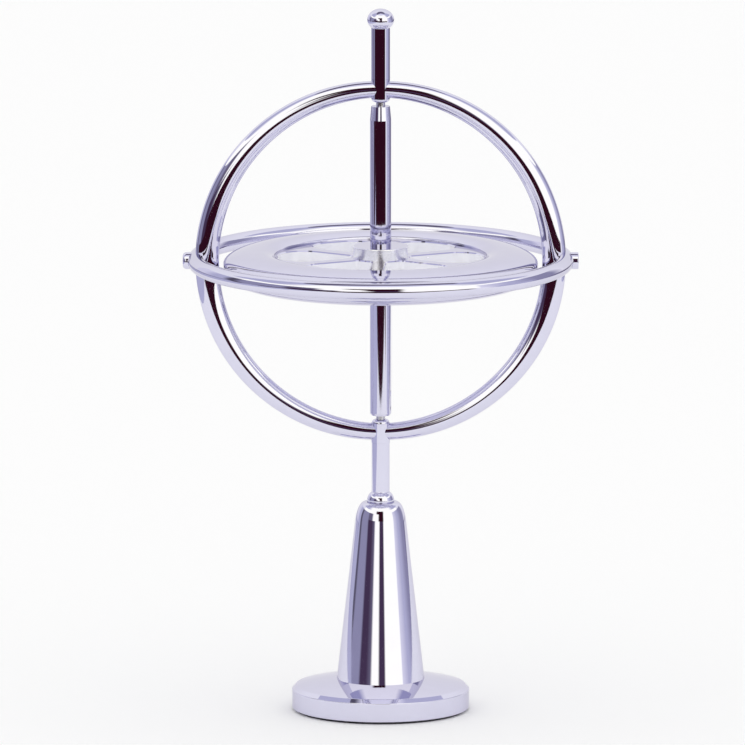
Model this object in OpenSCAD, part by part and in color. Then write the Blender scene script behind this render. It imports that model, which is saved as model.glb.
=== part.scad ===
// Gyroscope on a stand: a spoked rotor on a plain shaft spins in a frame of two rings,
// and the frame stands by its ball foot in the cup of a tapered column on a round base.
// Millimetres, +Z up. The origin is the middle of the base's underside.

/* [Base] */
// Diameter of the base disc
base_d = 29.3; // [26:0.1:40]
// Height of the disc's upright side wall
base_wall = 3.1; // [2:0.1:5]
// Width of the bevel round the disc's upper edge
base_bevel = 0.65; // [0.3:0.05:1]
// Rise of the domed top, from the bevel to the column's seat
base_rise = 1.1; // [0.8:0.05:3]
// Outward swell of the domed top, over a straight slope
base_swell = 0.12; // [0:0.02:0.4]
// Width of the disc's foot rim round the non-slip pad
pad_margin = 0.65; // [0.3:0.05:3]
// Thickness of the pad
pad_t = 0.9; // [0.6:0.1:1.5]
// How far the pad stands out below the disc
pad_show = 0.4; // [0.2:0.05:0.5]

/* [Column] */
// Diameter of the column's foot
foot_d = 14.5; // [12:0.1:20]
// Diameter that the straight taper would reach at the top of the column
taper_top_d = 7.7; // [7:0.1:10]
// Height of the column
column_h = 29.6; // [20:0.1:60]
// Height of the rounded shoulder under the cup
shoulder_h = 3.2; // [1.5:0.1:4]
// Width of the cup's flat lip
lip_w = 0.4; // [0.2:0.05:0.6]
// Shank diameter of the screw that joins the base to the column
screw_d = 3; // [2:0.1:4]
// Length of the screw under the base's seat that is held in the column
screw_grip = 8; // [5:0.5:15]

/* [Frame] */
// Thickness of the upright ring, at its poles and through its plane
ring_t = 2.76; // [2.4:0.02:3.2]
// How far each half of the upright ring swells, both outwards and inwards, at the guard ring
ring_swell = 0.58; // [0.2:0.02:0.9]
// Thickness of the round bar of the level guard ring
guard_t = 2.8; // [2.4:0.05:3.4]
// Depth to which the guard ring is let into the upright ring
lap = 1.47; // [0.8:0.01:1.8]
// Diameter of the ring pins' heads
pin_head_d = 2.8; // [2:0.05:3.2]
// How far the flat pin head stands out of the guard ring
pin_proud = 0.75; // [0.4:0.05:1.2]
// Diameter of the ring pins' shanks
pin_d = 1; // [0.8:0.05:1.3]

/* [Posts] */
// Diameter of the upper post
upper_post_d = 3.1; // [2.9:0.05:3.6]
// Diameter of the lower post
lower_post_d = 2.96; // [2.9:0.02:3.6]
// Distance from the upright ring to the middle of the upper ball
upper_post_len = 10.25; // [6:0.05:20]
// Distance from the upright ring to the middle of the lower ball
lower_post_len = 10.05; // [6:0.05:20]
// Diameter of the balls
ball_d = 4.45; // [4:0.05:5]
// Height of a flattened half of a ball: all halves but the one that stands in the cup
ball_half_h = 1.82; // [1.6:0.02:2]
// Height of the ball's middle over the cup's lip
ball_up = 0.3; // [0.1:0.05:0.8]
// Diameter of the posts' studs
stud_d = 1.9; // [1.6:0.05:2.1]

/* [Rotor] */
// Diameter of the rotor
rotor_d = 52; // [40:0.5:60]
// Gap between the rotor and the upright ring
rotor_gap = 0.65; // [0.4:0.05:1.5]
// How far the middle of the rotor lies below the middle of the rings
rotor_drop = 1.16; // [0:0.02:2]
// Thickness of the rim
rim_t = 5.6; // [4.8:0.1:8]
// Height of the rim's upright outer band
rim_band = 1.2; // [0.6:0.1:2]
// Width of the rounded outer shoulder of the rim, from its crest to the band
rim_slope_w = 6.2; // [3:0.1:6.5]
// How far the rim falls from its crest to the edge of the recess
rim_fall = 0.5; // [0.2:0.05:1]
// Diameter of the recess inside the rim
recess_d = 34.8; // [31:0.1:38]
// Width of the rounding at the edge of the recess
recess_round = 0.25; // [0.2:0.05:0.6]
// Thickness of the spokes
web_t = 3.6; // [3:0.1:4]
// Number of spokes
spokes = 6; // [3:1:6]
// Width of a spoke between its fillets
spoke_w = 2.4; // [2:0.1:3.6]
// Radius of the windows' outer corners
window_far_r = 4; // [2:0.1:4.2]
// Radius of the windows' inner corners
window_near_r = 1; // [0.4:0.1:1.2]
// Width of the ledge between the windows and the recess wall
window_ledge = 0.4; // [0.3:0.05:1]
// Width of the ledge between the windows and the hub
hub_ledge = 0.3; // [0.2:0.05:0.6]
// Turn of the first spoke from the right-hand side
spoke_turn = 27; // [0:1:60]
// Diameter of the hub
hub_d = 9.1; // [8:0.1:11]
// Length of the hub
hub_t = 7.4; // [6:0.1:12]

/* [Shaft] */
// Diameter of the shaft
shaft_d = 3.5; // [3:0.1:4]
// Diameter of the shaft's end faces
shaft_end_d = 3.1; // [2.6:0.05:3.4]
// Length of the taper at the upper end of the shaft
taper_len = 2.3; // [1:0.1:4]
// Length of the chamfer at the lower end of the shaft
chamfer_len = 0.35; // [0.2:0.05:0.6]
// Diameter of the hole for the pull string
string_d = 1; // [0.8:0.05:1.4]
// Turn of the string hole from the plane of the upright ring
string_turn = 10; // [0:1:90]
// Distance of the string hole below the middle of the rings
string_drop = 22.1; // [12:0.1:22.5]
// Diameter of the pivots
pivot_d = 1.5; // [1.2:0.05:1.7]
// Length of pivot that shows between the shaft and the bearing
pivot_gap = 0.7; // [0.5:0.05:1.5]
// How far a bearing nose stands in from the upright ring
nose_len = 0.7; // [0.5:0.05:1.2]

/* [Hidden] */
$fn = 96;
chrome = "#c8c8e0";
press_gap = 0.01;   // clearance of parts that are pressed or screwed together
run_gap = 0.03;     // radial clearance of parts that turn in each other
cup_gap = 0.05;     // clearance of the ball foot in its cup
cut = 0.1;          // overrun of a cut past the face that it opens
arc_steps = 16;     // points along a curved stretch of an outline

// Base and column
base_r = base_d / 2;
foot_r = foot_d / 2;
pad_r = base_r - pad_margin;
pocket_depth = pad_t - pad_show;
wall_top = pad_show + base_wall;
seat_z = wall_top + base_bevel + base_rise;
lip_z = seat_z + column_h;
ball_r = ball_d / 2;
ball_z = lip_z + ball_up;
cup_r = ball_r + cup_gap;
mouth_r = sqrt(cup_r * cup_r - ball_up * ball_up);
screw_head_h = screw_d / 2;
screw_room = 1;                                // depth of the screw's hole past its tip

// Frame, about the middle of the rings
ring_in = rotor_d / 2 + rotor_gap + ring_swell;
ring_out = ring_in + ring_t;
ring_mid = ring_in + ring_t / 2;
guard_r = ring_out + ring_swell - lap + guard_t / 2;
frame_z = ball_z + ring_out + lower_post_len;
boss_rise = 0.4;                               // height of the pole bosses over the ring
boss_face = ring_out + boss_rise;
boss_sink = 0.1;                               // depth of the bosses' inner faces inside the ring
nose_seat = ring_in - boss_sink;
nose_tip = ring_in - nose_len;
nose_r = upper_post_d / 2;
stud_gap = 0.1;                                // height of the studs' ends over the ring's middle
stud_len = boss_face - ring_mid - stud_gap;
stem_gap = 0.2;                                // depth of the stems' ends below the ring's middle
stem_len = ring_mid - nose_seat - stem_gap;
head_sink = 0.6;                               // depth of the pin heads' spot faces
head_seat = guard_r + guard_t / 2 - head_sink;
head_top = guard_r + guard_t / 2 + pin_proud;
pin_floor = 0.7;                               // wall left inside the pin holes
pin_tip = ring_in - ring_swell + pin_floor;

// Rotor and shaft, about the middle of the rings
rotor_r = rotor_d / 2;
recess_r = recess_d / 2;
crest_r = rotor_r - rim_slope_w;
shaft_half = nose_tip - pivot_gap;
pivot_depth = 2.5;                             // length of pivot pressed into the shaft
pivot_reach = 0.9;                             // length of pivot that runs in the bearing
end_play = 0.3;                                // room past the pivots' tips
bore_depth = pivot_reach + end_play;

// Points of a quarter ellipse about c, from angle a to angle b, with half axes w and h
function arc_points(c, w, h, a, b) =
    [for (i = [0:arc_steps]) let (t = a + (b - a) * i / arc_steps) [c.x + w * cos(t), c.y + h * sin(t)]];

// Points from p to q on a shallow parabola that stands out by swell in the middle
function bow_points(p, q, swell) =
    [for (i = [0:arc_steps]) let (t = i / arc_steps)
        [p.x + (q.x - p.x) * t, p.y + (q.y - p.y) * t + 4 * swell * t * (1 - t)]];

module base_disc() {
    outline = concat(
        [[0, pad_show + pocket_depth], [pad_r + press_gap, pad_show + pocket_depth]],
        [[pad_r + press_gap, pad_show], [base_r, pad_show], [base_r, wall_top]],
        bow_points([base_r - base_bevel, wall_top + base_bevel], [foot_r, seat_z], base_swell),
        [[0, seat_z]]);
    color(chrome) difference() {
        rotate_extrude() polygon(outline);
        screw_hole();
    }
}

// Clearance hole and countersink for the base screw
module screw_hole() {
    from = pad_show + pocket_depth;
    translate([0, 0, from - cut]) cylinder(d = screw_d + 2 * run_gap, h = seat_z - from + 2 * cut);
    translate([0, 0, from])
        cylinder(r1 = screw_d + run_gap, r2 = screw_d / 2 + run_gap, h = screw_head_h);
    translate([0, 0, from - cut]) cylinder(r = screw_d + run_gap, h = cut);
}

module base_pad() {
    color("#1c1c1e") cylinder(r = pad_r, h = pad_t - press_gap);
}

module base_screw() {
    head_z = pad_show + pocket_depth + press_gap;
    recess_w = screw_d / 4;
    color("#9a9aa4") difference() {
        union() {
            translate([0, 0, head_z]) cylinder(r1 = screw_d, r2 = screw_d / 2, h = screw_head_h);
            translate([0, 0, head_z]) cylinder(d = screw_d, h = seat_z + screw_grip - head_z);
        }
        for (turn = [0, 90])
            rotate(turn) translate([-screw_d / 2, -recess_w / 2, head_z - cut])
                cube([screw_d, recess_w, screw_head_h * 0.6 + cut]);
    }
}

// The shoulder is the part of an ellipse that leaves the taper without an edge and is level
// at the lip; start is the angle of the ellipse at which it leaves the taper
module column() {
    top_r = mouth_r + lip_w;
    narrowing = (foot_r - taper_top_d / 2) / column_h;
    shoulder_w = foot_r - narrowing * (column_h - shoulder_h) - top_r;
    share = shoulder_h * narrowing / shoulder_w;
    start = asin(share / (1 - share));
    curve_h = shoulder_h / (1 - sin(start));
    outline = concat([[0, seat_z], [foot_r, seat_z]],
        arc_points([top_r, lip_z - curve_h], shoulder_w / cos(start), curve_h, start, 90),
        [[0, lip_z]]);
    color(chrome) difference() {
        rotate_extrude() polygon(outline);
        translate([0, 0, ball_z]) sphere(r = cup_r);
        translate([0, 0, seat_z - cut])
            cylinder(d = screw_d + 2 * press_gap, h = screw_grip + screw_room + cut);
    }
}

// A turned post along +Z from the boss face, with a ball and a threaded stud; the ball's
// outer half has the height tip_h
module post(d, ball_at, tip_h) {
    neck = asin(d / ball_d);
    outline = concat(
        [[0, boss_face - stud_len], [stud_d / 2, boss_face - stud_len]],
        [[stud_d / 2, boss_face + run_gap], [d / 2, boss_face + run_gap]],
        arc_points([0, ball_at], ball_r, ball_half_h, neck - 90, 0),
        arc_points([0, ball_at], ball_r, tip_h, 0, 90));
    rotate_extrude() polygon(outline);
}

module upper_post() {
    color(chrome) translate([0, 0, frame_z])
        post(upper_post_d, ring_out + upper_post_len, ball_half_h);
}

module lower_post() {
    color(chrome) translate([0, 0, frame_z]) mirror([0, 0, 1])
        post(lower_post_d, ring_out + lower_post_len, ball_r);
}

// A flat round plate with a rounded rim, lying in the XZ plane
module rounded_plate(r) {
    rotate([90, 0, 0]) rotate_extrude() {
        translate([r - ring_t / 2, 0]) circle(d = ring_t);
        translate([0, -ring_t / 2]) square([r - ring_t / 2, ring_t]);
    }
}

// A plate with a round hole whose edge is rounded, lying in the XZ plane
module holed_plate(r, outer) {
    rotate([90, 0, 0]) rotate_extrude() {
        translate([r + ring_t / 2, 0]) circle(d = ring_t);
        translate([r + ring_t / 2, -ring_t / 2]) square([outer - r, ring_t]);
    }
}

// One half of the upright ring: the two circles that bound it are set apart by the swell
module half_ring() {
    reach = 2 * ring_out;
    intersection() {
        translate([ring_swell, 0, 0]) rounded_plate(ring_out);
        translate([-ring_swell, 0, 0]) holed_plate(ring_in, reach);
        translate([0, -reach / 2, -reach / 2]) cube(reach);
    }
}

module vertical_ring() {
    color(chrome) translate([0, 0, frame_z]) difference() {
        union() {
            half_ring();
            mirror([1, 0, 0]) half_ring();
            translate([0, 0, nose_seat]) cylinder(d = upper_post_d, h = boss_face - nose_seat);
            mirror([0, 0, 1]) translate([0, 0, nose_seat])
                cylinder(d = lower_post_d, h = boss_face - nose_seat);
        }
        for (side = [0, 1]) mirror([0, 0, side]) {
            translate([0, 0, nose_seat - cut])
                cylinder(d = stud_d + 2 * run_gap, h = boss_face - nose_seat + 2 * cut);
        }
        rotate_extrude() translate([guard_r, 0]) circle(d = guard_t + 2 * press_gap);
        for (side = [0, 1]) mirror([side, 0, 0])
            translate([pin_tip - cut, 0, 0]) rotate([0, 90, 0])
                cylinder(d = pin_d + 2 * press_gap, h = guard_r - pin_tip);
    }
}

module guard_ring() {
    color(chrome) translate([0, 0, frame_z]) difference() {
        rotate_extrude() translate([guard_r, 0]) circle(d = guard_t);
        for (side = [0, 1]) mirror([side, 0, 0]) rotate([0, 90, 0]) {
            translate([0, 0, guard_r - guard_t]) cylinder(d = pin_d + 2 * press_gap, h = 2 * guard_t);
            translate([0, 0, head_seat]) cylinder(d = pin_head_d + 2 * press_gap, h = guard_t);
        }
    }
}

// A ring pin along +X: a shank through both rings under a round head
module ring_pin(crown) {
    head_r = pin_head_d / 2;
    rim_x = head_top - crown;
    outline = concat(
        [[0, pin_tip], [pin_d / 2, pin_tip], [pin_d / 2, head_seat + press_gap]],
        [[head_r, head_seat + press_gap]],
        arc_points([head_r - crown, rim_x], crown, crown, 0, 90),
        [[0, head_top]]);
    rotate([0, 90, 0]) rotate_extrude() polygon(outline);
}

module right_ring_pin() {
    color(chrome) translate([0, 0, frame_z]) ring_pin(0.15);
}

module left_ring_pin() {
    color(chrome) translate([0, 0, frame_z]) mirror([1, 0, 0]) ring_pin(0.6);
}

// A bearing along +Z: a stem pressed into the ring, and a domed nose bored for the pivot
module bearing(r) {
    nose_h = nose_seat - nose_tip;
    outline = concat(
        [[0, nose_seat + stem_len], [stud_d / 2, nose_seat + stem_len]],
        [[stud_d / 2, nose_seat - press_gap], [r, nose_seat - press_gap]],
        arc_points([r - nose_h + press_gap, nose_seat - press_gap], nose_h - press_gap,
            nose_h - press_gap, 0, -90),
        [[0, nose_tip]]);
    difference() {
        rotate_extrude() polygon([for (i = [len(outline) - 1:-1:0]) outline[i]]);
        translate([0, 0, nose_tip - cut]) cylinder(d = pivot_d + 2 * run_gap, h = bore_depth + cut);
    }
}

module upper_bearing() {
    color(chrome) translate([0, 0, frame_z]) bearing(upper_post_d / 2);
}

module lower_bearing() {
    color(chrome) translate([0, 0, frame_z]) mirror([0, 0, 1]) bearing(lower_post_d / 2);
}

// Upper half of the rotor's outline, from the shaft bore outwards: the rim rises from the
// edge of the recess to its crest, where it is level, and falls to its upright outer band
function rotor_half() =
    let (edge = [recess_r + recess_round, rim_t / 2 - rim_fall])
    concat(
        [[shaft_d / 2 + press_gap, hub_t / 2], [hub_d / 2, hub_t / 2]],
        [[hub_d / 2, web_t / 2], [recess_r, web_t / 2]],
        arc_points([edge.x, edge.y - recess_round], recess_round, recess_round, 180, 120),
        bow_points(edge, [crest_r, rim_t / 2], rim_fall / 4),
        arc_points([crest_r, rim_band / 2], rim_slope_w, (rim_t - rim_band) / 2, 90, 0));

// A point at a distance r from the axis, turned by a from +X
function polar(r, a) = [r * cos(a), r * sin(a)];

// Triangle from the axis that holds a sector of radius r between the angles -a and a
module wedge(r, a) {
    polygon([[0, 0], polar(2 * r, a), polar(2 * r, -a)]);
}

// Part of one window on either side of +X: its corner circles, and the straight-sided body
// that joins them along the two spokes
module window_outline() {
    half = 180 / spokes;
    outer = recess_r - window_ledge;
    inner = hub_d / 2 + hub_ledge;
    far = outer - window_far_r;
    near = inner + window_near_r;
    far_turn = asin((spoke_w / 2 + window_far_r) / far);
    near_turn = asin((spoke_w / 2 + window_near_r) / near);
    side = [
        polar(near, half - near_turn),
        polar(near, half - near_turn) + polar(window_near_r, half + 90),
        polar(far, half - far_turn) + polar(window_far_r, half + 90),
        polar(far, half - far_turn)];
    polygon(concat(side, [for (i = [3:-1:0]) [side[i].x, -side[i].y]]));
    for (up = [0, 1]) mirror([0, up]) {
        translate(side[0]) circle(r = window_near_r);
        translate(side[3]) circle(r = window_far_r);
    }
    difference() {
        intersection() {
            circle(r = outer);
            wedge(outer, half - far_turn);
        }
        circle(r = near);
    }
    difference() {
        intersection() {
            circle(r = near);
            wedge(near, half - near_turn);
        }
        circle(r = inner);
    }
}

module rotor_wheel() {
    half = rotor_half();
    count = len(half);
    outline = concat(half, [for (i = [count - 1:-1:0]) [half[i].x, -half[i].y]]);
    color(chrome) translate([0, 0, frame_z - rotor_drop]) difference() {
        rotate_extrude() polygon(outline);
        for (i = [0:spokes - 1]) rotate(spoke_turn + (i + 0.5) * 360 / spokes)
            translate([0, 0, -web_t / 2 - cut]) linear_extrude(web_t + 2 * cut) window_outline();
    }
}

module shaft() {
    r = shaft_d / 2;
    end_r = shaft_end_d / 2;
    color(chrome) translate([0, 0, frame_z]) difference() {
        union() {
            translate([0, 0, chamfer_len - shaft_half])
                cylinder(r = r, h = 2 * shaft_half - chamfer_len - taper_len);
            translate([0, 0, shaft_half - taper_len]) cylinder(r1 = r, r2 = end_r, h = taper_len);
            translate([0, 0, -shaft_half]) cylinder(r1 = end_r, r2 = r, h = chamfer_len);
        }
        rotate(-string_turn) translate([0, 0, -string_drop]) rotate([0, 90, 0])
            cylinder(d = string_d, h = 2 * shaft_d, center = true);
        for (side = [0, 1]) mirror([0, 0, side])
            translate([0, 0, shaft_half - pivot_depth - cut])
                cylinder(d = pivot_d + 2 * press_gap, h = pivot_depth + 2 * cut);
    }
}

// A hardened pivot along +Z, pressed into the shaft's end and rounded at its tip
module pivot() {
    r = pivot_d / 2;
    tip = nose_tip + pivot_reach;
    tip_h = r / 2;
    outline = concat([[0, shaft_half - pivot_depth], [r, shaft_half - pivot_depth]],
        arc_points([0, tip - tip_h], r, tip_h, 0, 90));
    rotate_extrude() polygon(outline);
}

module upper_pivot() {
    color("#b0b0bc") translate([0, 0, frame_z]) pivot();
}

module lower_pivot() {
    color("#b0b0bc") translate([0, 0, frame_z]) mirror([0, 0, 1]) pivot();
}

base_disc();
base_pad();
base_screw();
column();
lower_post();
vertical_ring();
guard_ring();
left_ring_pin();
right_ring_pin();
upper_post();
upper_bearing();
lower_bearing();
rotor_wheel();
shaft();
upper_pivot();
lower_pivot();
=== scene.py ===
"""A toy gyroscope standing by its ball foot on a tapered stand, all in mirror chrome."""

import math

import bpy
import numpy as np
from mathutils import Matrix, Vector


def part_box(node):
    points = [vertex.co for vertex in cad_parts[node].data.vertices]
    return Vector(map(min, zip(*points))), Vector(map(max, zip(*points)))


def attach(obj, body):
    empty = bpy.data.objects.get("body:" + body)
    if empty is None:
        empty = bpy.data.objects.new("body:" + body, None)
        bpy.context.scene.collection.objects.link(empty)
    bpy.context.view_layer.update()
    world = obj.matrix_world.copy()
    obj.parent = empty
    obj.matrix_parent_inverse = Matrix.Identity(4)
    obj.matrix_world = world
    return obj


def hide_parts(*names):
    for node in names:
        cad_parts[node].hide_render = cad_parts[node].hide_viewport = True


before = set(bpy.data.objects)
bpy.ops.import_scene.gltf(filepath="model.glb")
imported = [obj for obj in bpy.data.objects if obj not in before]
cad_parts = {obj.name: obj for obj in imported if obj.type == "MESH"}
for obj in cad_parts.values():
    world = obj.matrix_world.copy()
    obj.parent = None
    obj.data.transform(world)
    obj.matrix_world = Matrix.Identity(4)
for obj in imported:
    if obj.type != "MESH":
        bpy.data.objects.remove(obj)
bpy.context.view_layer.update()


# --- Base pad -----------------------------------------------------------------------------
# A round of black rubber let into the underside of the base, a little proud of it, so that
# the stand doesn't slip. Cut from sheet, so its edge is square and its faces have a fine grain.

# A millimetre in metres. Sizes are in millimetres where nothing else is said
MM = 0.001


def line(start, end, steps=1):
    """Straight stretch of an outline from start to end, as (points, normals) in (radius, height).
    The normal is the direction of travel turned a quarter turn clockwise."""
    start, end = np.array(start, float), np.array(end, float)
    points = start + (end - start) * np.linspace(0, 1, steps + 1)[:, None]
    along = (end - start) / np.linalg.norm(end - start)
    return points, np.tile([along[1], -along[0]], (steps + 1, 1))


def arc(centre, width, height, start, end, steps=16):
    """Stretch of an ellipse about centre with half axes width and height, from start to end
    degrees. The normal is the gradient of the ellipse, turned over when the travel is clockwise."""
    turn = np.radians(np.linspace(start, end, steps + 1))
    points = np.array(centre, float) + np.stack([width * np.cos(turn), height * np.sin(turn)], 1)
    normals = np.stack([height * np.cos(turn), width * np.sin(turn)], 1)
    normals *= math.copysign(1, end - start) / np.linalg.norm(normals, axis=1)[:, None]
    return points, normals


def placed(name, data):
    """Object at the origin that holds the data and is in the scene."""
    piece = bpy.data.objects.new(name, data)
    bpy.context.scene.collection.objects.link(piece)
    return piece


def build(name, points, faces, corner_normals):
    """Mesh object at the origin from an array of points and a list of faces. The shading follows
    the array corner_normals, one for each corner of each face."""
    mesh = bpy.data.meshes.new(name)
    mesh.from_pydata((points * MM).tolist(), [], faces)
    mesh.polygons.foreach_set("use_smooth", np.ones(len(mesh.polygons), bool))
    mesh.normals_split_custom_set(corner_normals.tolist())
    mesh.validate()
    return placed(name, mesh)


def lathe(outline, angles):
    """Surface of revolution: the point at outline step i and angle a is (r cos a, r sin a, z).
    outline is a list of stretches, travelled with the solid on the left; returns points, quads
    and one normal for each corner, with each stretch keeping its own normals at its ends."""
    count = len(angles)
    cos, sin = np.cos(angles), np.sin(angles)
    points, quads, normals = [], [], []
    for stretch, slopes in outline:
        ring = np.stack([stretch[:, :1] * cos, stretch[:, :1] * sin,
                         np.repeat(stretch[:, 1:], count, 1)], 2)
        facing = np.stack([slopes[:, :1] * cos, slopes[:, :1] * sin,
                           np.repeat(slopes[:, 1:], count, 1)], 2)
        first = sum(len(p) for p in points)
        index = first + np.arange(ring.shape[0] * count).reshape(-1, count)
        after = np.roll(index, -1, 1)
        quads.append(np.stack([index[:-1], after[:-1], after[1:], index[1:]], 2).reshape(-1, 4))
        beyond = np.roll(facing, -1, 1)
        corners = np.stack([facing[:-1], beyond[:-1], beyond[1:], facing[1:]], 2)
        normals.append(corners.reshape(-1, 4, 3))
        points.append(ring.reshape(-1, 3))
    return np.concatenate(points), np.concatenate(quads), np.concatenate(normals)


def weld(points, quads, normals):
    """Joins points that lie in the same place, to five decimals. A corner goes where it falls on
    the corner before it, and a face where fewer than three of its corners are left."""
    decimals = 5
    first, index = np.unique(np.round(points, decimals), axis=0, return_index=True,
                             return_inverse=True)[1:]
    quads = index.reshape(-1)[quads]
    kept = quads != np.roll(quads, 1, 1)
    whole = kept.sum(1) > 2
    quads, kept, normals = quads[whole], kept[whole], normals[whole]
    faces = np.split(quads[kept], np.cumsum(kept.sum(1))[:-1])
    return points[first], [face.tolist() for face in faces], normals[kept]


def turned(name, outline, steps=192):
    """Closed piece made on the lathe about the upright axis, from a closed outline."""
    angles = np.linspace(0, 2 * math.pi, steps, endpoint=False)
    return build(name, *weld(*lathe(outline, angles)))


def material(name, base, metallic, roughness):
    """A Principled material with the values that are the same all over set on its own sockets."""
    made = bpy.data.materials.new(name)
    made.use_nodes = True
    shader = made.node_tree.nodes["Principled BSDF"]
    shader.inputs["Base Color"].default_value = (*base, 1)
    shader.inputs["Metallic"].default_value = metallic
    shader.inputs["Roughness"].default_value = roughness
    return made, made.node_tree.nodes, made.node_tree.links, shader


def grain(nodes, links, scale, detail):
    """Noise over the piece in its own coordinates; scale is in turns per metre."""
    place = nodes.new("ShaderNodeTexCoord")
    noise = nodes.new("ShaderNodeTexNoise")
    noise.inputs["Scale"].default_value = scale
    noise.inputs["Detail"].default_value = detail
    links.new(place.outputs["Object"], noise.inputs["Vector"])
    return noise


def between(nodes, links, value, low, high):
    """The value, from 0 to 1, carried over to the span from low to high."""
    span = nodes.new("ShaderNodeMapRange")
    span.inputs["To Min"].default_value = low
    span.inputs["To Max"].default_value = high
    links.new(value, span.inputs["Value"])
    return span.outputs["Result"]


def bump(nodes, links, shader, height, distance):
    """Raises the surface by the height signal times distance, in metres."""
    raised = nodes.new("ShaderNodeBump")
    raised.inputs["Distance"].default_value = distance
    links.new(height, raised.inputs["Height"])
    links.new(raised.outputs["Normal"], shader.inputs["Normal"])


def rubber():
    """Black rubber, uneven in tone and roughness, with a fine grain."""
    made, nodes, links, shader = material("black_rubber", base=(0.02, 0.014, 0.022), metallic=0,
                                          roughness=0.6)
    noise = grain(nodes, links, scale=2500, detail=6)
    tone = nodes.new("ShaderNodeValToRGB")
    tone.color_ramp.elements[0].color = (0.012, 0.008, 0.014, 1)
    tone.color_ramp.elements[1].color = (0.035, 0.028, 0.038, 1)
    links.new(noise.outputs["Fac"], tone.inputs["Fac"])
    links.new(tone.outputs["Color"], shader.inputs["Base Color"])
    links.new(between(nodes, links, noise.outputs["Fac"], low=0.5, high=0.8),
              shader.inputs["Roughness"])
    bump(nodes, links, shader, noise.outputs["Fac"], distance=0.00004)
    return made


pad_high = np.array(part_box("base_pad")[1]) / MM
pad_r, pad_t = pad_high[0], pad_high[2]
pad_edge = 0.06
pad = turned("rubber_pad", [
    line((0, 0), (pad_r - pad_edge, 0), 4),
    arc((pad_r - pad_edge, pad_edge), pad_edge, pad_edge, -90, 0, 4),
    line((pad_r, pad_edge), (pad_r, pad_t), 2),
    line((pad_r, pad_t), (0, pad_t), 4)])
pad.data.materials.append(rubber())
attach(pad, "stand")
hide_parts("base_pad")


# --- Base disc ----------------------------------------------------------------------------
# A steel disc turned with an upright wall, a bevel and a gently domed top, then chromed.
# The pad's pocket and the screw's countersunk hole are cut in its underside.

CHROME = (0.71, 0.70, 0.84)
GRAZED_CHROME = (0.8, 0.79, 0.83)


def chrome(name, ripple=0.0000015, ripple_scale=120, roughness=(0.025, 0.06)):
    """Plated chrome: a mirror whose polish and colour vary a little, over a very shallow ripple
    with its height in metres and its scale in turns per metre. Its tint at a slant is paler."""
    made, nodes, links, shader = material(name, CHROME, metallic=1, roughness=roughness[0])
    shader.inputs["Specular Tint"].default_value = (*GRAZED_CHROME, 1)
    polish = grain(nodes, links, scale=400, detail=5)
    links.new(between(nodes, links, polish.outputs["Fac"], *roughness),
              shader.inputs["Roughness"])
    # The colours of a Mix node are its inputs 6 and 7, and their mixture is its output 2
    tint = nodes.new("ShaderNodeMix")
    tint.data_type = "RGBA"
    duller, brighter = 0.97, 1.03
    tint.inputs[6].default_value = (*(duller * c for c in CHROME), 1)
    tint.inputs[7].default_value = (*(brighter * c for c in CHROME), 1)
    links.new(polish.outputs["Fac"], tint.inputs["Factor"])
    links.new(tint.outputs[2], shader.inputs["Base Color"])
    wave = grain(nodes, links, ripple_scale, detail=1.5)
    bump(nodes, links, shader, wave.outputs["Fac"], ripple)
    return made


def eased(corner, radius, before, after, steps=6):
    """Rounding of an edge between two faces whose normals stand at the angles before and after,
    in degrees: an arc about corner - radius (n1 + n2) / (1 + n1 . n2)."""
    first, second = (np.array([math.cos(a), math.sin(a)]) for a in np.radians((before, after)))
    centre = np.array(corner) - radius * (first + second) / (1 + first @ second)
    return arc(centre, radius, radius, before, after, steps)


def bowed(start, end, swell, steps=24):
    """Parabola from start to end, raised by swell over the middle of the straight line between
    them: start + (end - start) s + (0, 4 swell s (1 - s)). Its normal is across its slope."""
    share = np.linspace(0, 1, steps + 1)[:, None]
    run, lift = np.array(end) - np.array(start), np.array([0, 4 * swell])
    slope = run + lift * (1 - 2 * share)
    normals = np.stack([slope[:, 1], -slope[:, 0]], 1)
    normals /= np.linalg.norm(normals, axis=1)[:, None]
    return np.array(start) + run * share + lift * share * (1 - share), normals


turned_chrome = chrome("turned_chrome")

disc_low, disc_high = (np.array(corner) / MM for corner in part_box("base_disc"))
foot_high = np.array(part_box("column")[1]) / MM
disc_r, disc_z, seat_z = disc_high[0], disc_low[2], disc_high[2]
foot_r, lip_z = foot_high[0], foot_high[2]
wall_h, bevel, dome_swell = 3.1, 0.65, 0.12
wall_round, dome_round = 0.12, 0.25
pocket_gap, hole_r, sink_r, sink_h = 0.01, 1.53, 3.03, 1.5
wall_top = disc_z + wall_h
top_edge = (disc_r - bevel, wall_top + bevel)
pocket_r, pocket_z = pad_r + pocket_gap, pad_t + pocket_gap
dome_turn = math.degrees(math.atan2(seat_z - top_edge[1] + 4 * dome_swell,
                                    top_edge[0] - foot_r))
wall_edge = eased((disc_r, wall_top), wall_round, 0, 45)
dome_edge = eased(top_edge, dome_round, 45, 90 - dome_turn)
disc = turned("base_plate", [
    line((pocket_r, disc_z), (disc_r - wall_round, disc_z)),
    arc((disc_r - wall_round, disc_z + wall_round), wall_round, wall_round, -90, 0, 5),
    line((disc_r, disc_z + wall_round), wall_edge[0][0], 4),
    wall_edge,
    line(wall_edge[0][-1], dome_edge[0][0], 3),
    dome_edge,
    bowed(dome_edge[0][-1], (foot_r, seat_z), dome_swell),
    line((foot_r, seat_z), (hole_r, seat_z)),
    line((hole_r, seat_z), (hole_r, pocket_z + sink_h)),
    line((hole_r, pocket_z + sink_h), (sink_r, pocket_z)),
    line((sink_r, pocket_z), (pocket_r, pocket_z)),
    line((pocket_r, pocket_z), (pocket_r, disc_z))])
disc.data.materials.append(turned_chrome)
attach(disc, "stand")
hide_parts("base_disc")


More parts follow.
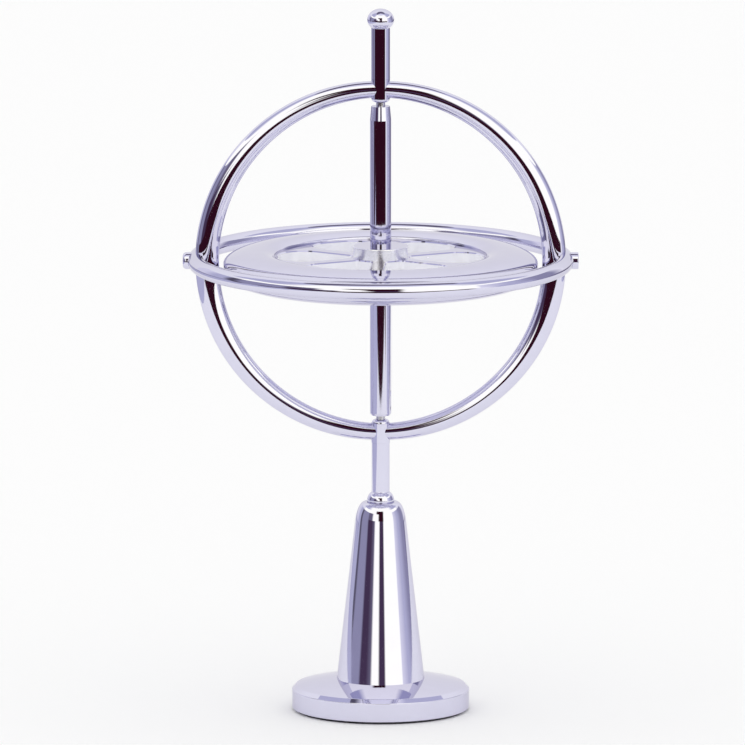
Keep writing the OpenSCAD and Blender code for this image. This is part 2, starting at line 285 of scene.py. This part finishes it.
# --- Column -------------------------------------------------------------------------------
# A tapered column turned from bar and chromed like the disc, on which a screw holds it from
# below. Its shoulder is part of an ellipse that leaves the taper without an edge and is level
# at the lip of the cup for the ball foot.

cup_r, ball_r, ball_rise = 2.275, 2.225, 0.3
lip_w, lip_round = 0.4, 0.12
shoulder_h, taper_top_r = 3.2, 3.85
thread_r, thread_h = 1.51, 9
ball_z = lip_z + ball_rise
mouth_r = math.sqrt(cup_r ** 2 - (ball_z - lip_z) ** 2)
lip_r = mouth_r + lip_w
narrowing = (foot_r - taper_top_r) / (lip_z - seat_z)
shoulder_r = foot_r - narrowing * (lip_z - seat_z - shoulder_h)
share = shoulder_h * narrowing / (shoulder_r - lip_r)
leave = math.asin(share / (1 - share))
curve_w = (shoulder_r - lip_r) / math.cos(leave)
curve_h = shoulder_h / (1 - math.sin(leave))
thread_top = seat_z + thread_h
mouth_turn = math.degrees(math.asin((lip_z - lip_round - ball_z) / cup_r))
inner_lip = cup_r * math.cos(math.radians(mouth_turn))
column = turned("stand_column", [
    line((thread_r, seat_z), (foot_r, seat_z)),
    line((foot_r, seat_z), (shoulder_r, lip_z - shoulder_h), 12),
    arc((lip_r, lip_z - curve_h), curve_w, curve_h, math.degrees(leave), 90, 32),
    line((lip_r, lip_z), (inner_lip + lip_round, lip_z), 2),
    arc((inner_lip + lip_round, lip_z - lip_round), lip_round, lip_round, 90, 180, 6),
    arc((0, ball_z), cup_r, cup_r, mouth_turn, -90, 24),
    line((0, thread_top), (thread_r, thread_top)),
    line((thread_r, thread_top), (thread_r, seat_z))])
column.data.materials.append(turned_chrome)
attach(column, "stand")
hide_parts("column")


# --- Base screw ---------------------------------------------------------------------------
# A plain countersunk steel screw up through the disc into the column, hidden by the pad.
# Its zinc plating is dull and finely mottled.


def zinc():
    """Dull zinc plate, mottled in its roughness and its grain."""
    made, nodes, links, shader = material("zinc_plate", base=(0.5, 0.5, 0.53), metallic=1,
                                          roughness=0.4)
    noise = grain(nodes, links, scale=1500, detail=4)
    links.new(between(nodes, links, noise.outputs["Fac"], low=0.3, high=0.5),
              shader.inputs["Roughness"])
    bump(nodes, links, shader, noise.outputs["Fac"], distance=0.00002)
    return made


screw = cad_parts["base_screw"]
screw.data.materials.clear()
screw.data.materials.append(zinc())


# --- Posts --------------------------------------------------------------------------------
# Two turned posts, each with a ball end, screwed into the poles of the upright ring. The lower
# ball stands in the column's cup; the upper one is there to be held, or hung from a string.


def flipped(outline, height):
    """The same outline upside down about a height, travelled backwards so that it stays closed
    with its solid on the left."""
    turned_over = []
    for points, normals in reversed(outline):
        points = points[::-1] * (1, -1) + (0, 2 * height)
        turned_over.append((points, normals[::-1] * (1, -1)))
    return turned_over


def post_outline(radius, ball_at, face, tip):
    """Post standing on the height face, with its ball's middle at the height ball_at and the
    ball's outer half of the height tip. A fillet at the neck touches the post and the point t
    of the ball's ellipse (a cos t, b sin t) at which a cos t + f cos(normal) = post + f."""
    stud_r, stud_len, fillet = 0.95, 1.68, 0.12
    tries = 9001
    turn = np.radians(np.linspace(-90, 0, tries))
    facing = np.arctan2(np.sin(turn) / ball_half, np.cos(turn) / ball_r)
    off = ball_r * np.cos(turn) + fillet * np.cos(facing) - radius - fillet
    touch = float(np.interp(0, off, turn))
    slant = float(np.interp(0, off, facing))
    neck = ball_at + ball_half * math.sin(touch) + fillet * math.sin(slant)
    return [
        line((0, face - stud_len), (stud_r, face - stud_len)),
        line((stud_r, face - stud_len), (stud_r, face)),
        line((stud_r, face), (radius, face)),
        line((radius, face), (radius, neck), 6),
        arc((radius + fillet, neck), fillet, fillet, 180, 180 + math.degrees(slant), 6),
        arc((0, ball_at), ball_r, ball_half, math.degrees(touch), 0, 20),
        arc((0, ball_at), ball_r, tip, 0, 90, 28)]


ring_z = sum(corner[2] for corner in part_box("guard_ring")) / 2 / MM
ball_half = 1.82
upper_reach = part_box("upper_post")[1][2] / MM - ball_half - ring_z
lower_reach = ring_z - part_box("lower_post")[0][2] / MM - ball_r
boss_reach = 30.42
upper_r, lower_r = 1.55, 1.48
post_chrome = chrome("post_chrome", ripple=0.000001, ripple_scale=250)
upper_post = turned("upper_ball_post", post_outline(
    upper_r, ring_z + upper_reach, ring_z + boss_reach, ball_half), steps=96)
lower_post = turned("lower_ball_post", flipped(post_outline(
    lower_r, ring_z + lower_reach, ring_z + boss_reach, ball_r), ring_z), steps=96)
for post, body, node in ((upper_post, "frame", "upper_post"), (lower_post, "foot", "lower_post")):
    post.data.materials.append(post_chrome)
    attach(post, body)
    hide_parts(node)


# --- Upright ring -------------------------------------------------------------------------
# A cast ring, round in section at its poles and drawn out to an oval where the level ring is
# let into it. A short boss at each pole takes the post outside and the bearing inside.

bar_r = 1.38
middle_r = 28.61
ring_swell = 0.58


def upright_ring(name, around=384, across=48):
    """With e(t) the outward direction at the angle t, the section is an oval whose half width
    is w(t) = bar + swell |cos t|: the point is (middle + w cos s) e(t) + bar sin s y, and the
    normal (cos s / w) e(t) + (sin s / bar) y - (w' cos^2 s / (w r)) e'(t), with r the point's
    distance from the middle."""
    t, s = np.meshgrid(np.arange(around) * 2 * math.pi / around,
                       np.arange(across) * 2 * math.pi / across, indexing="ij")
    out = np.stack([np.cos(t), 0 * t, np.sin(t)], -1)
    along = np.stack([-np.sin(t), 0 * t, np.cos(t)], -1)
    wide = bar_r + ring_swell * np.abs(np.cos(t))
    widening = -ring_swell * np.sin(t) * np.sign(np.cos(t))
    reach = middle_r + wide * np.cos(s)
    points = reach[..., None] * out + (bar_r * np.sin(s))[..., None] * (0, 1, 0)
    normals = ((np.cos(s) / wide)[..., None] * out + (np.sin(s) / bar_r)[..., None] * (0, 1, 0)
               - (widening * np.cos(s) ** 2 / (wide * reach))[..., None] * along)
    normals /= np.linalg.norm(normals, axis=-1, keepdims=True)
    index = np.arange(t.size).reshape(t.shape)
    corners = [index, np.roll(index, -1, 1), np.roll(index, (-1, -1), (0, 1)),
               np.roll(index, -1, 0)]
    quads = np.stack(corners, -1).reshape(-1, 4)
    return build(name, points.reshape(-1, 3) + (0, 0, ring_z), quads.tolist(),
                 normals.reshape(-1, 3)[quads].reshape(-1, 3))


ring_chrome = chrome("ring_chrome", ripple=0.000002, ripple_scale=90)
upright = upright_ring("upright_ring")
boss_inside, boss_gap = 0.1, 0.02
boss_root = ring_z + middle_r - bar_r - boss_inside
boss_face = ring_z + boss_reach - boss_gap
boss_outline = [
    line((0, boss_root), (upper_r, boss_root)),
    line((upper_r, boss_root), (upper_r, boss_face), 3),
    line((upper_r, boss_face), (0, boss_face))]
upper_boss = turned("upper_ring_boss", boss_outline, steps=96)
lower_boss = turned("lower_ring_boss", flipped(boss_outline, ring_z), steps=96)
for part in (upright, upper_boss, lower_boss):
    part.data.materials.append(ring_chrome)
    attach(part, "frame")
    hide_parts("vertical_ring")


# --- Level ring ---------------------------------------------------------------------------
# A plain ring bent from round bar and brazed closed, which guards the rotor. It is let into
# the upright ring on both sides.

guard_high = np.array(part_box("guard_ring")[1]) / MM
guard_bar = 1.4
guard_r = max(guard_high[:2]) - guard_bar
guard = turned("level_ring", [arc((guard_r, ring_z), guard_bar, guard_bar, -180, 180, 48)],
               steps=288)
guard.data.materials.append(ring_chrome)
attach(guard, "frame")
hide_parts("guard_ring")


# --- Ring pins ----------------------------------------------------------------------------
# Two pins driven through the level ring into the upright one. The left one has a domed head,
# the right one a flat head with a broken edge.


def ring_pin(name, crown, side, steps=72):
    """Pin turned about the height axis and laid along X: (x, y, z) goes to (z, y, -x) on the
    right, and to (-z, y, x) on the left."""
    shank_r, head_r = 0.5, 1.4
    outline = [
        line((0, pin_tip), (shank_r, pin_tip)),
        line((shank_r, pin_tip), (shank_r, head_seat)),
        line((shank_r, head_seat), (head_r, head_seat)),
        line((head_r, head_seat), (head_r, head_top - crown), 2),
        arc((head_r - crown, head_top - crown), crown, crown, 0, 90, 10),
        line((head_r - crown, head_top), (0, head_top), 3)]
    angles = np.linspace(0, 2 * math.pi, steps, endpoint=False)
    points, faces, normals = weld(*lathe(outline, angles))
    laid = np.array([[0, 0, side], [0, 1, 0], [-side, 0, 0]])
    return build(name, points @ laid.T + (0, 0, ring_z), faces, normals @ laid.T)


pin_tip, head_seat = 27.35, 31.31
head_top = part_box("right_ring_pin")[1][0] / MM
pin_chrome = chrome("pin_chrome", ripple=0.000001, ripple_scale=400, roughness=(0.04, 0.09))
for name, crown, side, node in (("left_pin", 0.6, -1, "left_ring_pin"),
                                ("right_pin", 0.15, 1, "right_ring_pin")):
    pin = ring_pin(name, crown, side)
    pin.data.materials.append(pin_chrome)
    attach(pin, "frame")
    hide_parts(node)


# --- Bearings -----------------------------------------------------------------------------
# Two small turned bearings pressed into the poles of the ring. Each has a domed nose that
# stands in from the ring, with a blind hole in which the shaft's pivot runs.


def bearing_outline(radius):
    """Bearing in the upper pole, from the end of its bore round its nose to the end of its stem."""
    nose_h, bore_r, bore_h, stem_r, stem_h = 0.6, 0.78, 1.2, 0.95, 1.28
    nose_seat, nose_tip = boss_root, boss_root - nose_h
    bore_top, stem_top = nose_tip + bore_h, nose_seat + stem_h
    return [
        line((0, bore_top), (bore_r, bore_top)),
        line((bore_r, bore_top), (bore_r, nose_tip)),
        line((bore_r, nose_tip), (radius - nose_h, nose_tip)),
        arc((radius - nose_h, nose_seat), nose_h, nose_h, -90, 0, 12),
        line((radius, nose_seat), (stem_r, nose_seat)),
        line((stem_r, nose_seat), (stem_r, stem_top)),
        line((stem_r, stem_top), (0, stem_top))]


bearing_chrome = chrome("bearing_chrome", ripple=0.000001, ripple_scale=400,
                        roughness=(0.05, 0.1))
upper_bearing = turned("upper_bearing_cup", bearing_outline(upper_r), steps=96)
lower_bearing = turned("lower_bearing_cup", flipped(bearing_outline(lower_r), ring_z), steps=96)
for part, node in ((upper_bearing, "upper_bearing"), (lower_bearing, "lower_bearing")):
    part.data.materials.append(bearing_chrome)
    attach(part, "frame")
    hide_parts(node)


# --- Rotor --------------------------------------------------------------------------------
# A heavy cast wheel: a thick turned rim whose crest falls off gently inward and in a long slope
# outward, a web with six windows, whose edges are just broken, and a hub pressed on the shaft.
# In the windows and round the hub the plating is satin, and its near white colour, paler than
# the chrome's, is a painted highlight that makes the windows' walls and the hub's side white.

wheel_low, wheel_high = (np.array(corner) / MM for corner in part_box("rotor_wheel"))
wheel_z = (wheel_low[2] + wheel_high[2]) / 2
wheel_r = 26.0
rim_half, band_half, slope_w = 2.8, 0.6, 6.2
rim_fall, rim_edge_r, recess_r = 0.5, 17.65, 17.4
web_half, hub_half = 1.8, (wheel_high[2] - wheel_low[2]) / 2
hub_r, hub_edge, bore_r = 4.55, 0.15, 1.76
spokes, spoke_turn, spoke_half = 6, 27, 1.2
window_turns = spoke_turn + (np.arange(spokes) + 0.5) * 360 / spokes
far_r, near_r = 4, 1
outer_ledge, inner_ledge = 0.4, 0.3
window_out, window_in = recess_r - outer_ledge, hub_r + inner_ledge
edge_break = 0.2


def spin(angle):
    """Unit directions in the plane at the angles in degrees."""
    return np.stack([np.cos(np.radians(angle)), np.sin(np.radians(angle))], -1)


def half_window():
    """Half of a window on +X, from its inner end over the side of +Y to its outer end: arcs about
    the hub, the near corner, the far corner and the hub again, joined by the spoke's straight
    side. Gives the window's points, the directions from the window into the metal, and the
    points of the web's border that they are joined to."""
    half = 180 / spokes
    near, far = window_in + near_r, window_out - far_r
    near_at = half - math.degrees(math.asin((spoke_half + near_r) / near))
    far_at = half - math.degrees(math.asin((spoke_half + far_r) / far))
    side = half + 90
    # Steps along the hub, the near corner, the spoke's side, the far corner and the rim
    steps = (6, 8, 8, 32, 8)
    sweep = [np.linspace(0, 1, n + 1)[1:] for n in steps]
    # The near corner is joined to the hub's border beyond this share of the half window
    hub_share = 0.6 * half
    inner_turn = np.concatenate([[0], near_at * sweep[0]])
    near_turn = near_at + 180 + (side - near_at - 180) * sweep[1]
    far_turn = side + (far_at - side) * sweep[3]
    outer_turn = far_at * (1 - sweep[4])
    near_c, far_c = near * spin(near_at), far * spin(far_at)
    near_end, far_start = near_c + near_r * spin(side), far_c + far_r * spin(side)
    points = np.concatenate([
        window_in * spin(inner_turn),
        near_c + near_r * spin(near_turn),
        near_end + (far_start - near_end) * sweep[2][:, None],
        far_c + far_r * spin(far_turn),
        window_out * spin(outer_turn)])
    into = np.concatenate([
        -spin(inner_turn), spin(near_turn), np.tile(spin(side), (steps[2], 1)),
        spin(far_turn), spin(outer_turn)])
    foot = float(far_start @ spin(half))
    climb = np.linspace(foot, recess_r, steps[3] // 2 + 1)[1:]
    round_rim = half + (far_at - half) * np.linspace(0, 1, steps[3] // 2 + 1)[1:]
    border = np.concatenate([
        hub_r * spin(np.concatenate([[0], hub_share * sweep[0]])),
        hub_r * spin(hub_share + (half - hub_share) * sweep[1]),
        (hub_r + (foot - hub_r) * sweep[2])[:, None] * spin(half),
        climb[:, None] * spin(half),
        recess_r * spin(round_rim),
        recess_r * spin(outer_turn)])
    return points, into, border


def web():
    """Six copies of a strip that runs round one window and is carried from the web's border
    over the top face, down the window's wall with its broken edges, and back under to the
    border. Gives points, quads and corner normals."""
    points, into, border = (np.concatenate([a, a[-2:0:-1] * (1, -1)]) for a in half_window())
    level = np.ones((len(points), 1))
    faced, face_n = points + edge_break * into, np.concatenate([0 * into, level], 1)
    wall_n = np.concatenate([-into, 0 * level], 1)
    rings = [np.concatenate([ring, level * height], 1) for ring, height in (
        (border, web_half), (faced, web_half), (points, web_half - edge_break),
        (points, edge_break - web_half), (faced, -web_half), (border, -web_half))]
    down = face_n * (1, 1, -1)
    facings = [face_n, (face_n + wall_n) / math.sqrt(2), wall_n, (down + wall_n) / math.sqrt(2),
               down]
    parts = []
    for a in np.radians(window_turns):
        turn = np.array([[math.cos(a), math.sin(a), 0], [-math.sin(a), math.cos(a), 0],
                         [0, 0, 1]])
        for upper, lower, facing in zip(rings, rings[1:], facings):
            n = len(upper)
            here, there = np.arange(n), np.roll(np.arange(n), -1)
            quads = np.stack([here, here + n, there + n, there], 1)
            f, g = facing @ turn, np.roll(facing, -1, 0) @ turn
            parts.append((np.concatenate([upper, lower]) @ turn, quads,
                          np.stack([f, f, g, g], 1)))
    return parts


def border_angles(border, radius):
    """Angles, all round the wheel, of the web's border points that lie on the radius."""
    decimals = 9
    on = border[np.abs(np.hypot(*border.T) - radius) < 10 ** -decimals]
    half = np.degrees(np.arctan2(on[:, 1], on[:, 0]))
    one = np.concatenate([half, -half])
    all_round = (one[:, None] + window_turns) % 360
    return np.radians(np.unique(np.round(all_round.ravel(), decimals)) % 360)


def rotor():
    """Rim and hub made on the lathe, on the border points of the web between them. The rim's
    inner fall is a parabola that is level at the crest, as the outer slope's ellipse is."""
    border = half_window()[2]
    crest_r = wheel_r - slope_w
    steep = 90 + math.degrees(math.atan2(2 * rim_fall, crest_r - rim_edge_r))
    tilt = math.radians(steep)
    recess_round = (rim_edge_r - recess_r) / (1 + math.cos(tilt))
    round_c = (recess_r + recess_round, rim_half - rim_fall - recess_round * math.sin(tilt))
    rim = [
        line((wheel_r, 0), (wheel_r, band_half)),
        arc((crest_r, band_half), slope_w, rim_half - band_half, 0, 90, 48),
        bowed((crest_r, rim_half), (rim_edge_r, rim_half - rim_fall), rim_fall / 4),
        arc(round_c, recess_round, recess_round, steep, 180, 8),
        line((recess_r, round_c[1]), (recess_r, web_half))]
    hub = [
        line((hub_r, web_half), (hub_r, hub_half - hub_edge), 2),
        arc((hub_r - hub_edge, hub_half - hub_edge), hub_edge, hub_edge, 0, 90, 5),
        line((hub_r - hub_edge, hub_half), (bore_r, hub_half), 2),
        line((bore_r, hub_half), (bore_r, 0), 2)]
    parts = web() + [lathe(flipped(rim, 0) + rim, border_angles(border, recess_r)),
                     lathe(hub + flipped(hub, 0), border_angles(border, hub_r))]
    offsets = np.cumsum([0] + [len(p[0]) for p in parts[:-1]])
    points = np.concatenate([p[0] for p in parts])
    quads = np.concatenate([p[1] + o for p, o in zip(parts, offsets)])
    normals = np.concatenate([p[2] for p in parts])
    welded, faces, corners = weld(points, quads, normals)
    return build("rotor_wheel_turned", welded + (0, 0, wheel_z), faces, corners)


def satin_with_painted_highlight(name, metallic):
    """Satin plating with a fine grain, painted a near white paler than the chrome, which is a
    painted highlight. metallic is how much of it shines as metal."""
    # Painted highlight: the base colour is a near white, paler than the chrome's
    made, nodes, links, shader = material(name, (0.95, 0.95, 0.99), metallic, roughness=0.25)
    noise = grain(nodes, links, scale=1800, detail=5)
    links.new(between(nodes, links, noise.outputs["Fac"], low=0.2, high=0.3),
              shader.inputs["Roughness"])
    bump(nodes, links, shader, noise.outputs["Fac"], distance=0.00001)
    return made


def painted_highlight_faces(mesh):
    """Number of each face's material: 1 on the upright faces between the hub and the recess's
    wall, which are the windows' walls, 2 on those of the hub's side, and 0 on all others. A face
    is upright when the height part of its normal is small."""
    margin, small = 0.1, 0.5
    middles, facings = np.empty((2, 3 * len(mesh.polygons)))
    mesh.polygons.foreach_get("center", middles)
    mesh.polygons.foreach_get("normal", facings)
    from_axis = np.hypot(*(middles.reshape(-1, 3)[:, :2] / MM).T)
    stands = np.abs(facings.reshape(-1, 3)[:, 2]) < small
    in_window = (from_axis > hub_r + margin) & (from_axis < recess_r - margin)
    on_hub = np.abs(from_axis - hub_r) < margin
    return np.where(stands & in_window, 1, np.where(stands & on_hub, 2, 0)).astype(np.int32)


wheel = rotor()
wheel.data.materials.append(chrome("rotor_chrome", ripple=0.0000015, ripple_scale=70))
# The windows' walls and the hub's side take satin plating painted a near white, a painted highlight
wheel.data.materials.append(satin_with_painted_highlight("window_satin_painted_highlight", metallic=0.5))
wheel.data.materials.append(satin_with_painted_highlight("hub_satin_painted_highlight", metallic=1))
wheel.data.polygons.foreach_set("material_index", painted_highlight_faces(wheel.data))
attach(wheel, "rotor")
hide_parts("rotor_wheel")


# --- Shaft --------------------------------------------------------------------------------
# A ground steel shaft, pressed through the hub and chromed with it. Its upper end is tapered,
# its lower end has a small chamfer, and a cross hole below the rotor takes the pull string.

shaft_low, shaft_high = (np.array(corner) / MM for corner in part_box("shaft"))
shaft_r, shaft_end_r = 1.75, 1.55
pivot_hole_r, pivot_hole_h = 0.76, 2.5
taper, chamfer, edge_strip = 2.3, 0.35, 0.05
string_r, string_drop, string_turn, drill_reach = 0.5, 22.1, -10, 3
bottom, top = shaft_low[2], shaft_high[2]
lower_floor, upper_floor = bottom + pivot_hole_h, top - pivot_hole_h
plain_low, plain_high = bottom + chamfer, top - taper
shaft = turned("rotor_shaft", [
    line((0, lower_floor), (pivot_hole_r, lower_floor)),
    line((pivot_hole_r, lower_floor), (pivot_hole_r, bottom)),
    line((pivot_hole_r, bottom), (shaft_end_r, bottom)),
    line((shaft_end_r, bottom), (shaft_r, plain_low), 2),
    line((shaft_r, plain_low), (shaft_r, plain_low + edge_strip)),
    line((shaft_r, plain_low + edge_strip), (shaft_r, plain_high - edge_strip), 4),
    line((shaft_r, plain_high - edge_strip), (shaft_r, plain_high)),
    line((shaft_r, plain_high), (shaft_end_r, top), 8),
    line((shaft_end_r, top), (pivot_hole_r, top)),
    line((pivot_hole_r, top), (pivot_hole_r, upper_floor)),
    line((pivot_hole_r, upper_floor), (0, upper_floor))], steps=96)
# The drill lies along the string hole and is gone once it has cut it
drill = turned("string_drill", [
    line((0, -drill_reach), (string_r, -drill_reach)),
    line((string_r, -drill_reach), (string_r, drill_reach)),
    line((string_r, drill_reach), (0, drill_reach))], steps=48)
string_z = ring_z - string_drop
turn = math.radians(string_turn)
drill.matrix_world = Matrix((
    (0, -math.sin(turn), math.cos(turn), 0), (0, math.cos(turn), math.sin(turn), 0),
    (-1, 0, 0, string_z * MM), (0, 0, 0, 1)))
cut = shaft.modifiers.new("string_hole", "BOOLEAN")
cut.object, cut.operation, cut.solver = drill, "DIFFERENCE", "EXACT"
bpy.context.view_layer.update()
drilled = bpy.data.meshes.new_from_object(
    shaft.evaluated_get(bpy.context.evaluated_depsgraph_get()))
shaft.modifiers.clear()
shaft.data = drilled
bpy.data.objects.remove(drill)
shaft.data.materials.clear()
shaft.data.materials.append(chrome("shaft_chrome", ripple=0.000001, ripple_scale=200))
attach(shaft, "rotor")
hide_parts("shaft")


# --- Pivots -------------------------------------------------------------------------------
# Two hardened steel pins pressed into the ends of the shaft, with rounded tips that run in the
# bearings. They are ground, and left bare.


def ground_steel():
    """Bare steel with the fine marks of grinding."""
    made, nodes, links, shader = material("ground_steel", base=(0.62, 0.61, 0.66), metallic=1,
                                          roughness=0.2)
    noise = grain(nodes, links, scale=900, detail=3)
    links.new(between(nodes, links, noise.outputs["Fac"], low=0.12, high=0.3),
              shader.inputs["Roughness"])
    bump(nodes, links, shader, noise.outputs["Fac"], distance=0.000003)
    return made


pivot_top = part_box("upper_pivot")[1][2] / MM
pivot_r, tip_h = 0.75, 0.375
pivot_seat = upper_floor
pivot_outline = [
    line((0, pivot_seat), (pivot_r, pivot_seat)),
    line((pivot_r, pivot_seat), (pivot_r, pivot_top - tip_h), 3),
    arc((0, pivot_top - tip_h), pivot_r, tip_h, 0, 90, 12)]
steel = ground_steel()
for name, outline in (("upper_pivot", pivot_outline),
                      ("lower_pivot", flipped(pivot_outline, ring_z))):
    pivot = turned(name + "_pin", outline, steps=64)
    pivot.data.materials.append(steel)
    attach(pivot, "rotor")
    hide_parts(name)


# --- Studio -------------------------------------------------------------------------------
# A sheet of white paper under the stand in a white room, and a grey cloth on its left. Coloured
# cards and soft lights round them on a sphere, with a gap at the back, give the polished metal
# its lines. Only reflections show the cloth and the cards.

CARD_DISTANCE = 2.6
WHITE = (1.42, 1.42, 1.22)
PALE = (1.07, 1.06, 1.06)
LAVENDER = (0.87, 0.86, 0.95)
GREY = (0.56, 0.56, 0.72)
DUSK = (0.34, 0.33, 0.46)
TWILIGHT = (0.17, 0.15, 0.22)
SHADE = (0.11, 0.10, 0.14)
PLUM = (0.072, 0.044, 0.09)
MAROON = (0.034, 0.005, 0.014)
# Colours of the cards by the direction from the object: degrees from straight in front of it,
# to the right, at which each colour begins and ends. A gap is bridged by a smooth change.
LEFT = ((-140, -130, LAVENDER), (-118, -108, GREY), (-102, -98, SHADE), (-91, -62, DUSK))
RIGHT = ((62, 64, LAVENDER), (82, 86, GREY), (106, 124, DUSK), (138, 140, PALE))
EYE_LEVEL = LEFT + (
    (-56, -40, PLUM), (-29, -28, TWILIGHT), (-23, -7.5, WHITE), (-3, 10.5, PLUM),
    (14, 60, WHITE)) + RIGHT
UPPER = LEFT + (
    (-56, -41, TWILIGHT), (-34, -13, WHITE), (-7, 11, MAROON), (15, 60, WHITE)) + RIGHT
HIGH = ((-100, -26, WHITE), (-18, 12, MAROON), (16, 100, WHITE))
OVERHEAD = ((-120, -75, GREY), (-52, 52, WHITE), (75, 120, GREY))
HORIZON = LEFT + ((-56, -40, PLUM), (-30, 12, MAROON), (16, 60, WHITE)) + RIGHT
LOW = (
    (-180, -150, TWILIGHT), (-120, -101, DUSK), (-98, -92, SHADE), (-88, -80, DUSK),
    (-75, 54, MAROON), (60, 66, PALE),
    (76, 80, GREY), (96, 100, GREY), (108, 116, DUSK), (146, 180, TWILIGHT))


def sheet(name, left, right, front, back):
    """Level rectangle at height zero, between the limits in metres."""
    mesh = bpy.data.meshes.new(name)
    mesh.from_pydata([(left, front, 0), (right, front, 0), (right, back, 0), (left, back, 0)],
                     [], [(0, 1, 2, 3)])
    return placed(name, mesh)


def unseen(piece):
    """Leaves a card or a cloth to reflections alone."""
    piece.visible_camera = piece.visible_diffuse = piece.visible_shadow = False
    return piece


def glowing(name):
    """Material that glows at a strength of 1, with the nodes and links it is made of."""
    made = bpy.data.materials.new(name)
    made.use_nodes = True
    nodes, links = made.node_tree.nodes, made.node_tree.links
    nodes.clear()
    shader = nodes.new("ShaderNodeEmission")
    out = nodes.new("ShaderNodeOutputMaterial")
    links.new(shader.outputs["Emission"], out.inputs["Surface"])
    return made, nodes, links, shader


def azimuth(nodes, links):
    """Direction of a point from the object, atan2(x, -y), as a share of the full turn that
    begins and ends straight behind it."""
    place = nodes.new("ShaderNodeTexCoord")
    axes = nodes.new("ShaderNodeSeparateXYZ")
    links.new(place.outputs["Object"], axes.inputs["Vector"])
    ahead = nodes.new("ShaderNodeMath")
    ahead.operation = "MULTIPLY"
    ahead.inputs[1].default_value = -1
    links.new(axes.outputs["Y"], ahead.inputs[0])
    bearing = nodes.new("ShaderNodeMath")
    bearing.operation = "ARCTAN2"
    links.new(axes.outputs["X"], bearing.inputs[0])
    links.new(ahead.outputs[0], bearing.inputs[1])
    share = nodes.new("ShaderNodeMapRange")
    share.inputs["From Min"].default_value = -math.pi
    share.inputs["From Max"].default_value = math.pi
    links.new(bearing.outputs[0], share.inputs["Value"])
    return share.outputs["Result"]


def card_colours(name, colours):
    """Material that glows with the colour of its azimuth, which runs smoothly from the end of
    one colour to the beginning of the next."""
    made, nodes, links, shader = glowing(name)
    share = azimuth(nodes, links)
    ramp = nodes.new("ShaderNodeValToRGB")
    stops = [((edge + 180) / 360, colour) for begin, end, colour in colours
             for edge in (begin, end)]
    while len(ramp.color_ramp.elements) < len(stops):
        ramp.color_ramp.elements.new(0.5)
    for element, (place_at, colour) in zip(ramp.color_ramp.elements, stops):
        element.position = place_at
        element.color = (*colour, 1)
    links.new(share, ramp.inputs["Fac"])
    links.new(ramp.outputs["Color"], shader.inputs["Color"])
    return made


def card(name, low, high, colours):
    """Part of a sphere about the object, between the elevations low and high in degrees and
    from the first of its colours to the last: the point at the azimuth a and the elevation e
    is distance (sin a cos e, -cos a cos e, sin e)."""
    first, last = colours[0][0], colours[-1][1]
    across, upward = 145, 37
    turn, rise = np.meshgrid(np.radians(np.linspace(first, last, across)),
                             np.radians(np.linspace(low, high, upward)))
    points = CARD_DISTANCE * np.stack([
        np.sin(turn) * np.cos(rise), -np.cos(turn) * np.cos(rise), np.sin(rise)], -1)
    index = np.arange(turn.size).reshape(turn.shape)
    quads = np.stack([index[:-1, :-1], index[:-1, 1:], index[1:, 1:], index[1:, :-1]], -1)
    mesh = bpy.data.meshes.new(name)
    mesh.from_pydata(points.reshape(-1, 3).tolist(), [], quads.reshape(-1, 4).tolist())
    mesh.materials.append(card_colours(name, colours))
    return unseen(placed(name, mesh))


paper = sheet("white_paper", left=-0.19, right=0.28, front=-0.30, back=1.2)
paper.data.materials.append(
    material("white_paper", base=(0.985, 0.985, 0.985), metallic=0, roughness=0.9)[0])
cloth = unseen(sheet("grey_cloth", left=-0.45, right=-0.19, front=-0.30, back=1.2))
dyed, _, _, shader = glowing("grey_cloth")
shader.inputs["Color"].default_value = (*GREY, 1)
cloth.data.materials.append(dyed)
card("eye_level_cards", 0.9, 9.5, EYE_LEVEL)
card("upper_cards", 9.5, 26, UPPER)
card("high_cards", 26, 37, HIGH)
card("horizon_cards", -2.5, 0.9, HORIZON)
card("low_cards", -80, -2.5, LOW)
card("front_light", 37, 67, OVERHEAD)
card("front_roof", 67, 89.9, ((-90, -74, SHADE), (-60, 60, LAVENDER),
                                       (74, 90, GREY)))
card("back_roof", 67, 89.9, ((90, 270, TWILIGHT),))

room = bpy.data.worlds.new("white_room")
bpy.context.scene.world = room
room.use_nodes = True
room.node_tree.nodes["Background"].inputs["Color"].default_value = (1, 1, 1, 1)


# --- Camera -------------------------------------------------------------------------------
# A long lens four metres off, a little above the rings, which lie a little above and to the
# right of the middle of its picture.

camera = placed("camera", bpy.data.cameras.new("camera"))
bpy.context.scene.camera = camera
# In metres: how far off the rings are, how wide the picture is there, and how far the middle of
# the picture lies aside of them and below them
distance, picture_side, aside, below = 4.0, 0.1229, 0.00134, 0.01846
raised = math.radians(9.5)
rings = np.array([0, 0, ring_z * MM])
forward = np.array([0, math.cos(raised), -math.sin(raised)])
up = np.array([0, math.sin(raised), math.cos(raised)])
eye = rings - distance * forward
look = rings - aside * np.array([1, 0, 0]) - below * up - eye
look /= np.linalg.norm(look)
right = np.cross(look, (0, 0, 1))
right /= np.linalg.norm(right)
above = np.cross(right, look)
camera.matrix_world = Matrix(
    [(right[k], above[k], -look[k], eye[k]) for k in range(3)] + [(0, 0, 0, 1)])
camera.data.lens = camera.data.sensor_width * distance / picture_side
camera.data.clip_start, camera.data.clip_end = 0.1, 50

bpy.context.scene.view_settings.view_transform = "Standard"
